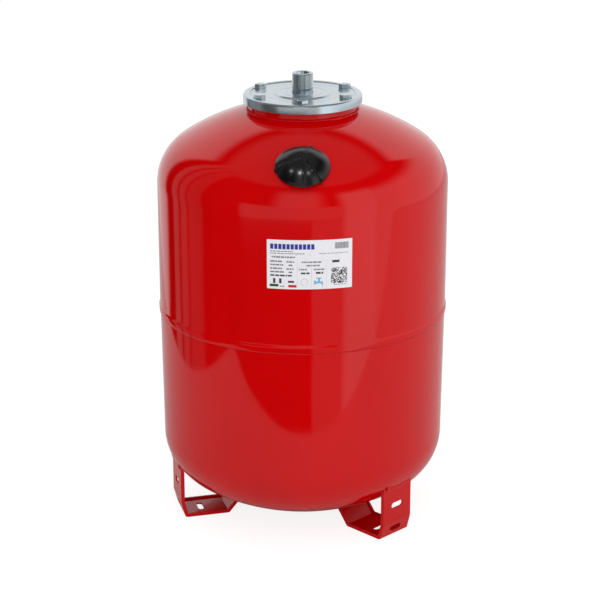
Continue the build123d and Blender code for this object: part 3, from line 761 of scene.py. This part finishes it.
class BuildAirValve(PieceOperator, bpy.types.Operator):
    """Brass air valve in its welded socket, with core, pin, spring, seal and gasket"""

    bl_idname = "vessel.air_valve"
    bl_label = "Air valve"

    def execute(self, context):
        angle = np.linspace(0, TURN, 96, endpoint=False)[None]
        flat = np.ones_like(angle)
        foot, hex_top, mouth, bore = 3.7, 7.2, 13.6, 2.65
        shank_r, socket_r, socket_foot, socket_top = 5.0, 9.0, -8, 2.5
        share = np.linspace(1, 0.62, 9)[:, None]
        edge = hexagon(14.0, angle)
        chamfer = hex_top - math.tan(math.radians(25)) * (share * edge - 6.6)
        climb = np.linspace(hex_top + 0.3, mouth, 60)[:, None]
        cut = thread(3.85, 0.42, 0.794, climb, angle)
        cut = np.minimum(cut, 3.3 + (mouth - climb) * 1.2)
        r = np.concatenate((
            np.array([[bore], [shank_r], [shank_r]]) * flat, edge, share * edge,
            np.array([[3.6]]) * flat, cut, np.array([[bore + 0.35], [bore], [bore]]) * flat,
        ))
        z = np.concatenate((
            np.array([[-3.9], [-3.9]]) * flat, np.array([[foot]]) * flat, foot * flat,
            np.minimum(chamfer, hex_top), np.array([[hex_top]]) * flat, climb * flat,
            np.array([[mouth], [mouth - 0.4], [-3.5]]) * flat,
        ))
        brass = turned_brass()
        put("valve_stem_turning", [(at_valve(around(r, z, angle)), True, True)], brass,
            "vessel", ["valve_stem"])
        hole_r = shank_r + 0.1
        socket = rounded(
            [(hole_r, socket_foot), (socket_r, socket_foot), (socket_r, socket_top),
             (hole_r, socket_top)],
            [0, 0, 0.6, 0.3], 4,
        )
        boss = at_valve(around(socket[:, :1], socket[:, 1:], angle))
        put("valve_socket_turning", [(boss, True, True)],
            bpy.data.materials["stoved_red_enamel"], "vessel", ["valve_boss"])
        low, high, washer_r = socket_top + 0.1, foot - 0.1, 7.4
        washer = rounded(
            [(hole_r, low), (washer_r, low), (washer_r, high), (hole_r, high)], 0.3, 4
        )
        gasket = at_valve(around(washer[:, :1], washer[:, 1:], angle))
        rubber = bpy.data.materials["moulded_epdm_rubber"]
        put("valve_gasket_washer", [(gasket, True, True)], rubber, "vessel",
            ["valve_gasket"])
        finish_node("valve_core", brass)
        finish_node("valve_pin", brass)
        finish_node("valve_seal", rubber)
        finish_node("valve_spring", spring_wire())

        ribs = np.linspace(0, TURN, 192, endpoint=False)[None]
        cap_r, cap_in, cap_foot, cap_roof, cap_top = 5.6, 4.25, 7.6, 13.98, 15.2
        outline = np.concatenate((
            [(0, cap_roof)],
            rounded([(0.1, cap_roof), (cap_in, cap_roof), (cap_in, cap_foot), (cap_r, cap_foot)],
                    [0, 0.3, 0.2, 0], 4),
            line((cap_r, cap_foot + 0.15), (cap_r, 14.3), 8),
            rounded([(cap_r, 14.3), (cap_r, cap_top), (0.1, cap_top)], [0, 0.7, 0], 6)[1:],
            [(0, cap_top)],
        ))
        r, z = outline[:, :1], outline[:, 1:]
        grip = eased((z - 7.7) / 0.4) * eased((15.0 - z) / 0.7) * (r > 5.0)
        r = r - 0.28 * grip * (0.5 + 0.5 * np.cos(24 * ribs)) ** 2
        cap = at_valve(around(r, z, ribs))
        put("valve_dust_cap_moulding", [(cap, False, True)],
            moulded_black("moulded_black_nylon", 0.42, 0.4, "#151515"), "valve_dust_cap",
            ["valve_dust_cap"])
        return {"FINISHED"}


class BuildValveCover(PieceOperator, bpy.types.Operator):
    """Domed black plastic cover with three grooves that run out to tabs on its rim, and a hub
    inside that grips the valve"""

    bl_idname = "vessel.valve_cover"
    bl_label = "Valve cover"

    def execute(self, context):
        depth = context.scene.vessel_sizes.groove_depth / MM
        edge_r, wall, apex, dome_foot = 40.3, 1.6, 17.5, 0.5
        tall = apex - dome_foot
        ball = (edge_r**2 + tall**2) / (2 * tall)
        angle = np.linspace(0, TURN, 720, endpoint=False)[None]
        turn = (angle - math.radians(72) + TURN / 6) % (TURN / 3) - TURN / 6

        def dome(radius, inset):
            return apex - ball + np.sqrt(np.maximum((ball - inset) ** 2 - radius**2, 0))

        out_r = np.concatenate((np.linspace(0, 34, 30), np.linspace(34.6, edge_r - 0.4, 16)))
        outside = np.stack((out_r, dome(out_r, 0)), -1)
        rim = np.array([(edge_r - 0.08, dome_foot + 0.2), (edge_r, dome_foot - 0.2),
                        (edge_r, -0.8), (edge_r - 0.2, -1.0), (edge_r - wall + 0.2, -1.0),
                        (edge_r - wall, -0.8)])
        hub_out, hub_in, hub_foot = 9.88, 8.48, 4.1
        in_r = np.linspace(edge_r - wall, hub_out, 16)
        inside = np.stack((in_r, dome(in_r, wall)), -1)
        hub = rounded(
            [(hub_out, 14), (hub_out, hub_foot), (hub_in, hub_foot), (hub_in, 14.6)],
            [0, 0.25, 0.25, 0], 4,
        )[1:-1]
        roof_r = np.linspace(hub_in, 0, 6)
        roof = np.stack((roof_r, dome(roof_r, wall)), -1)
        outline = np.concatenate((outside, rim, inside, hub, roof))
        r, z = outline[:, :1], outline[:, 1:]
        facing = np.cos(turn) > 0
        aside = np.abs(np.sin(turn)) * r
        out = eased((r - 1.5) / 6) * facing
        groove = np.exp(-((aside / 0.95) ** 4)) * out
        lips = np.exp(-(((aside - 1.9) / 0.7) ** 2)) * out * (0.5 + eased((r - 26) / 12))
        on_top = np.arange(len(outline))[:, None] < len(outside)
        # The lobe between the two front grooves stands a little prouder than the others.
        lobe_start, lobe_end, proud = math.radians(192), math.radians(312), 0.45
        front = proud * eased(np.sin(2.2 * (angle - lobe_start)) * 4) * eased(r / 12)
        lobe = (angle > lobe_start) & (angle < lobe_end)
        edge_fade = eased((edge_r - r) / 3)
        z = z + on_top * (proud * lips - depth * groove + front * lobe * edge_fade)
        tab = 1.9 * eased((2.7 - np.abs(np.sin(turn)) * edge_r) / 0.9) * facing
        near_rim = eased((r - 37.5) / 2.5)
        r = r + tab * near_rim
        z = z + 0.5 * tab * near_rim * on_top
        cover = at_valve(around(r, z, angle))
        put("valve_cover_moulding", [(cover, False, True)],
            moulded_black("moulded_black_polypropylene", 0.2, 0.9, "#0b0b0d"), "valve_cover",
            ["valve_cover"])
        return {"FINISHED"}


class BuildFeet(PieceOperator, bpy.types.Operator):
    """Three folded strip feet with side lips and slots, their sheared edges rounded over by
    the enamel"""

    bl_idname = "vessel.feet"
    bl_label = "Feet"

    def execute(self, context):
        enamel = bpy.data.materials["stoved_red_enamel"]
        for side in ("front_left", "front_right", "rear"):
            name = f"{side}_foot"
            mesh = frame["nodes"][name].data.copy()
            mesh.name = f"{name}_strip"
            work = bmesh.new()
            work.from_mesh(mesh)
            bmesh.ops.remove_doubles(work, verts=work.verts, dist=2e-6)
            bmesh.ops.dissolve_limit(
                work, angle_limit=math.radians(2), verts=work.verts, edges=work.edges
            )
            work.to_mesh(mesh)
            work.free()
            if "custom_normal" in mesh.attributes:
                mesh.attributes.remove(mesh.attributes["custom_normal"])
            foot = bpy.data.objects.new(f"{name}_strip", mesh)
            dress(foot, enamel, "vessel", [name], 30)
            round_over = foot.modifiers.new("enamelled edges", "BEVEL")
            round_over.width = context.scene.vessel_sizes.edge_round
            round_over.segments = 3
            round_over.limit_method = "ANGLE"
            round_over.angle_limit = math.radians(50)
            round_over.harden_normals = True
        return {"FINISHED"}


def label_patch(x0, z0, x1, z1, lift, columns):
    """Curved rectangles on the label: widths are wrapped round the vessel as angles of
    width / radius, and each stands off the enamel by lift."""
    radius = SHELL_R + lift
    x = np.linspace(np.asarray(x0, float), np.asarray(x1, float), columns, axis=-1)
    t = (LABEL_TURN + x / radius)[..., None, :]
    low, high = np.asarray(z0, float)[..., None, None], np.asarray(z1, float)[..., None, None]
    z = np.concatenate((low + 0 * t, high + 0 * t), -2)
    return around(radius, z, np.broadcast_to(t, z.shape))


def ink(name, rectangles, material, lift):
    """Printed rectangles, given as left, bottom, right and top in millimetres from the
    label's middle."""
    boxes = np.asarray(rectangles, float)
    middle_z = (LABEL_LOW.z + LABEL_HIGH.z) / 2
    patches = label_patch(boxes[:, 0], middle_z + boxes[:, 1], boxes[:, 2],
                          middle_z + boxes[:, 3], lift, 7)
    grids = [(patch, False, False) for patch in patches]
    return put(name, grids, material, "vessel")


def words(left, right, bottom, height, seed, gap=0.9):
    """Word-like dashes that fill a line of print, with seeded lengths."""
    rng = np.random.default_rng(seed)
    lengths = rng.uniform(1.2, 5.0, 40) * height / 1.6
    ends = left + np.cumsum(lengths + gap)
    starts = ends - lengths - gap
    keep = ends - gap <= right
    full = np.full(keep.sum(), float(bottom))
    return np.stack((starts[keep], full, ends[keep] - gap, full + height), -1).tolist()


class BuildRatingLabel(PieceOperator, bpy.types.Operator):
    """White film label with generic print: a row of blue blocks, word-like dashes, a table,
    stripes, a seeded mosaic, a gauge ring and a tap picture. Nothing on it can be read"""

    bl_idname = "vessel.rating_label"
    bl_label = "Rating label"

    def execute(self, context):
        high = LABEL_HIGH.z - LABEL_LOW.z
        half_wide, corner = 63, 1
        wide = half_wide * np.sin(np.linspace(-1, 1, 64) * math.pi / 2)
        inset = np.maximum(np.abs(wide) - (half_wide - corner), 0)
        reach = high / 2 - corner + np.sqrt(np.maximum(corner**2 - inset**2, 0))
        centre = (LABEL_LOW.z + LABEL_HIGH.z) / 2
        z = np.stack((centre - reach, centre + reach, centre + reach, centre - reach))
        lift = np.array((0.25, 0.25, 0.02, 0.02))[:, None]
        film = around(SHELL_R + 0.1 + lift, z, LABEL_TURN + wide / SHELL_R)
        order = film[[3, 0, 1, 2]]
        put("rating_label_film", [(order, True, False)], label_film(), "vessel",
            ["rating_label"])

        # Each line of grey print: left, right, bottom, height and seed.
        lines = [(-58, -24, 19.5, 1.3, 1), (-58, -4, 16.3, 1.3, 2), (-56, -20, 10.3, 2.2, 3),
                 (14, 58, 16.3, 1.0, 4)]
        for i, bottom in enumerate((3.6, -1.6, -7.2, -12.4)):
            jog = 3 * (i % 2)
            lines += [(-58, -38 + jog, bottom, 2.2, 10 + i),
                      (-34 + jog, -20, bottom - 0.4, 2.2, 20 + i)]
        lines += [(-12, 17, 3.0, 2.1, 30), (-5, 16, -2.2, 2.1, 31), (-16, -1, -8.2, 2.0, 32),
                  (6, 22, -8.2, 2.0, 33), (34, 54, -32.0, 1.0, 34), (-44, -36, -34.2, 1.6, 35)]
        rows = [dash for printed in lines for dash in words(*printed)]
        rules = [(-58, 14.4, 58, 14.8), (-18.5, -35, -18.2, 7), (2.4, -35, 2.7, -5.2),
                 (24.6, -35, 24.9, 7), (-18.5, 7.0, 58, 7.2), (-18.5, -4.6, 24.6, -4.4)]
        dark = words(-58, -20, -18.0, 2.4, 40, 1.2)
        dark += words(33, 54, 2.6, 3.6, 41, 1.0)
        dark += words(-13, 0, -14.2, 2.6, 42, 1.2)
        dark += words(9, 23, -14.0, 3.0, 43, 1.2)
        dark += [(-32, -27.6, -23, -24.6), (-54, -28.8, -50.5, -21.4), (-45, -28.8, -41.5, -21.4)]

        rng = np.random.default_rng(7)
        cells = 21
        cell = 24.0 / cells
        on = rng.random((cells, cells)) < 0.55
        down, across = np.nonzero(on)
        left, bottom = 31.5 + across * cell, -29.5 + down * cell
        mosaic = np.stack((left, bottom, left + cell, bottom + cell), -1)
        widths = rng.uniform(0.35, 1.3, 24)
        ends = 36.5 + np.cumsum(widths + 0.35)
        ends = ends[ends < 58.5]
        bars = np.stack((ends - widths[: len(ends)], np.full(len(ends), 23.4), ends,
                         np.full(len(ends), 33.0)), -1)

        blue = [(left, 23.4, left + 4.7, 31.4) for left in np.arange(-58, 5, 6.0)]
        red = [(-31.5, -34.8, -19.5, -31.0)]
        green = [(-59.0, -34.0, -46.0, -30.2)]
        tap = [(6.2, -28.6, 19.0, -25.8), (6.2, -30.4, 8.4, -24.0), (12.0, -25.8, 14.8, -20.6),
               (9.6, -21.4, 17.2, -19.8), (17.0, -31.0, 19.6, -28.6), (18.2, -34.0, 19.6, -32.6)]
        for name, boxes, finish, code, lift in (
            ("grey", rows, "grey", "#77767d", 0.42),
            ("rules", rules, "pale_blue", "#b4b9cc", 0.41),
            ("dark", dark, "dark_grey", "#3a393e", 0.43),
            ("mosaic", mosaic, "black", "#1e1d20", 0.42),
            ("stripes", bars, "worn_grey", "#7d7d82", 0.42),
            ("blue", blue, "blue", "#25309a", 0.42),
            ("red", red, "red", "#c0182a", 0.42),
            ("green", green, "green", "#0d5a2a", 0.42),
            ("tap", tap, "light_blue", "#5fb2dc", 0.42),
        ):
            ink(f"label_print_{name}", boxes, printed_ink(f"{finish}_label_ink", code), lift)

        turn = np.linspace(0.15 * TURN, 1.05 * TURN, 40)
        size = np.array((4.6, 5.3))[:, None]
        x = -8.0 + size * np.cos(turn - 1.9)
        z = centre - 26.5 + size * np.sin(turn - 1.9)
        gauge = around(SHELL_R + 0.42, z, LABEL_TURN + x / SHELL_R)
        put("label_print_gauge", [(gauge, False, False)],
            bpy.data.materials["pale_blue_label_ink"], "vessel")
        return {"FINISHED"}


# ---- studio ----


def sky_panel(tree, azimuth, lift, spot):
    """Brightness of one soft light far away: full inside its span of azimuth and elevation,
    fading smoothly to nothing beyond it."""
    middle, half, low, high, soft, power = spot
    aside = maths(tree, "SUBTRACT", azimuth, math.radians(middle))
    aside = maths(tree, "ABSOLUTE", maths(tree, "WRAP", aside, math.pi, -math.pi))
    level = maths(tree, "SUBTRACT", lift, math.radians((low + high) / 2))
    level = maths(tree, "ABSOLUTE", level)
    steps = []
    for span, value, peak in ((half, aside, power), ((high - low) / 2, level, 1.0)):
        values = {"From Min": math.radians(span), "From Max": math.radians(span + soft),
                  "To Min": peak, "To Max": 0.0}
        steps.append(add(tree, "ShaderNodeMapRange", values, {"Value": value},
                         interpolation_type="SMOOTHSTEP").outputs["Result"])
    return maths(tree, "MULTIPLY", *steps)


class BuildStudio(PieceOperator, bpy.types.Operator):
    """White table, soft lights far away all round, and the camera"""

    bl_idname = "vessel.studio"
    bl_label = "Studio"

    def execute(self, context):
        scene = context.scene
        studio = scene.vessel_studio
        # middle azimuth from the front towards +X, half width, lowest, highest, fade, power
        panels = [
            (180, 42, -90, 43, 7, 1.0),
            (98, 41, -90, 26, 16, 1.0),
            (47, 10, -90, 30, 12, 1.25),
            (-118, 2.5, -90, 60, 3, 0.34),
            (-107, 2.0, -90, 60, 4, 0.30),
            (-93, 5.0, -90, 60, 6, 0.22),
            (21, 12, -90, -4, 3, 0.42),
            (-8, 38, -12.4, 8, 6, 0.6),
            (-3, 10, 12, 34, 16, 0.7),
            (0, 180, 58, 90, 8, 0.27),
        ]
        world = bpy.data.worlds.new("studio_light")
        scene.world = world
        world.use_nodes = True
        tree = world.node_tree
        tree.nodes.clear()
        way = add(tree, "ShaderNodeTexCoord").outputs["Generated"]
        split = add(tree, "ShaderNodeSeparateXYZ", links={"Vector": way})
        ahead = maths(tree, "MULTIPLY", split.outputs["Y"], -1.0)
        azimuth = maths(tree, "ARCTAN2", split.outputs["X"], ahead)
        lift = maths(tree, "ARCSINE", split.outputs["Z"])
        bright = sky_panel(tree, azimuth, lift, panels[0])
        for spot in panels[1:]:
            bright = maths(tree, "MAXIMUM", bright, sky_panel(tree, azimuth, lift, spot))
        # The even fill is stronger from the front right, as the key light is.
        key = add(tree, "ShaderNodeVectorMath", {1: (0.42, -0.78, 0.32)}, {0: way},
                  operation="DOT_PRODUCT").outputs["Value"]
        fill = spread(tree, key, 0.44 * studio.fill, 1.42 * studio.fill, -0.8, 0.9)
        # Glossy surfaces mirror the panels, matt ones see only the fill, the camera sees white.
        rays = add(tree, "ShaderNodeLightPath")
        glossy = add(tree, "ShaderNodeMix", {}, {
            "Factor": rays.outputs["Is Glossy Ray"], "A": fill, "B": bright})
        shown = add(tree, "ShaderNodeMix", {"B": 1.0}, {
            "Factor": rays.outputs["Is Camera Ray"], "A": glossy.outputs[0]})
        sky = add(tree, "ShaderNodeBackground", {"Color": (1, 1, 1, 1)},
                  {"Strength": shown.outputs[0]})
        add(tree, "ShaderNodeOutputWorld", links={"Surface": sky.outputs[0]})

        # A matt white table top, whose edges are 0.68 m in front of the axis and 0.86 m left of
        # it. To the camera it glows a little, so that it runs into the white behind it.
        table = bpy.data.materials.new("matt_white_laminate")
        table.use_nodes = True
        tree = table.node_tree
        tree.nodes.clear()
        place = add(tree, "ShaderNodeTexCoord").outputs["Object"]
        speck = grain(tree, place, 3, 2)
        white = tints(tree, speck, [(0.3, (0.84, 0.84, 0.84)), (0.7, (0.86, 0.86, 0.86))])
        matt = add(tree, "ShaderNodeBsdfDiffuse", links={"Color": white})
        glow = add(tree, "ShaderNodeEmission", {"Strength": 0.86})
        faint = add(tree, "ShaderNodeBsdfDiffuse", {"Color": (0.3, 0.3, 0.3, 1)})
        lit = add(tree, "ShaderNodeAddShader", links={0: glow.outputs[0], 1: faint.outputs[0]})
        rays = add(tree, "ShaderNodeLightPath")
        both = add(tree, "ShaderNodeMixShader", links={
            0: rays.outputs["Is Camera Ray"], 1: matt.outputs[0], 2: lit.outputs[0]})
        add(tree, "ShaderNodeOutputMaterial", links={"Surface": both.outputs[0]})
        across = np.linspace(-0.86, 3.0, 9)[None]
        along = np.linspace(-0.68, 6.0, 13)[:, None]
        x, y = np.broadcast_arrays(across, along)
        points = np.stack((x, y, np.full_like(x, -0.0002)), -1).reshape(-1, 3)
        mesh = bpy.data.meshes.new("studio_table")
        mesh.from_pydata(points.tolist(), [], quads(13, 9, False, False).tolist())
        mesh.materials.append(table)
        top = bpy.data.objects.new("studio_table", mesh)
        scene.collection.objects.link(top)

        # Three small lamps, 2 m away, that only the black valve cover shows.
        shown_on = bpy.data.collections.new("lamp_lit")
        shown_on.objects.link(bpy.data.objects["valve_cover_moulding"])
        for side, height, power in ((-50.8, 47.5, 2.2), (-11.0, 48.3, 6.5), (25.6, 47, 2.2)):
            round_it, up = math.radians(side), math.radians(height)
            away = Vector((math.sin(round_it) * math.cos(up),
                           -math.cos(round_it) * math.cos(up), math.sin(up)))
            lamp = bpy.data.lights.new("studio_lamp", "AREA")
            lamp.shape = "DISK"
            lamp.size = 0.13
            lamp.energy = power
            stand = bpy.data.objects.new("studio_lamp", lamp)
            stand.location = VALVE_AT * MM + 2 * away
            stand.rotation_euler = away.to_track_quat("Z", "Y").to_euler()
            stand.light_linking.receiver_collection = shown_on
            scene.collection.objects.link(stand)

        camera = bpy.data.objects.new("studio_camera", bpy.data.cameras.new("studio_camera"))
        scene.collection.objects.link(camera)
        camera.location = studio.camera_at
        camera.rotation_euler = (studio.camera_lean, 0, 0)
        camera.data.sensor_width = 36
        camera.data.lens = studio.lens
        camera.data.shift_x = 0.0023
        scene.camera = camera
        scene.view_settings.view_transform = "Standard"
        return {"FINISHED"}


class VesselPanel(bpy.types.Panel):
    """Lists the vessel's settings and the operators that build it"""

    bl_idname = "VIEW3D_PT_vessel"
    bl_label = "Expansion vessel"
    bl_space_type = "VIEW_3D"
    bl_region_type = "UI"
    bl_category = "Vessel"

    def draw(self, context):
        for group in (context.scene.vessel_sizes, context.scene.vessel_colours,
                      context.scene.vessel_studio):
            box = self.layout.box()
            for name in group.__annotations__:
                box.prop(group, name)
        for operator in OPERATORS:
            self.layout.operator(operator.bl_idname)


GROUPS = (VesselSizes, VesselColours, VesselStudio)
OPERATORS = (
    BuildShells, BuildWelds, BuildNeck, BuildCounterFlange, BuildFlangeBolts, BuildNipple,
    BuildAirValve, BuildValveCover, BuildFeet, BuildRatingLabel, BuildStudio,
)


def register():
    """Registers the settings, operators and panel."""
    for made in (*GROUPS, *OPERATORS, VesselPanel):
        bpy.utils.register_class(made)
    bpy.types.Scene.vessel_sizes = bpy.props.PointerProperty(type=VesselSizes)
    bpy.types.Scene.vessel_colours = bpy.props.PointerProperty(type=VesselColours)
    bpy.types.Scene.vessel_studio = bpy.props.PointerProperty(type=VesselStudio)


def unregister():
    """Takes them away again."""
    del bpy.types.Scene.vessel_studio
    del bpy.types.Scene.vessel_colours
    del bpy.types.Scene.vessel_sizes
    for made in reversed((*GROUPS, *OPERATORS, VesselPanel)):
        bpy.utils.unregister_class(made)


def main():
    register()
    bpy.ops.vessel.shells()
    bpy.ops.vessel.welds()
    bpy.ops.vessel.neck()
    bpy.ops.vessel.counter_flange()
    bpy.ops.vessel.flange_bolts()
    bpy.ops.vessel.nipple()
    bpy.ops.vessel.air_valve()
    bpy.ops.vessel.valve_cover()
    bpy.ops.vessel.feet()
    bpy.ops.vessel.rating_label()
    bpy.ops.vessel.studio()


if __name__ == "__main__":
    main()
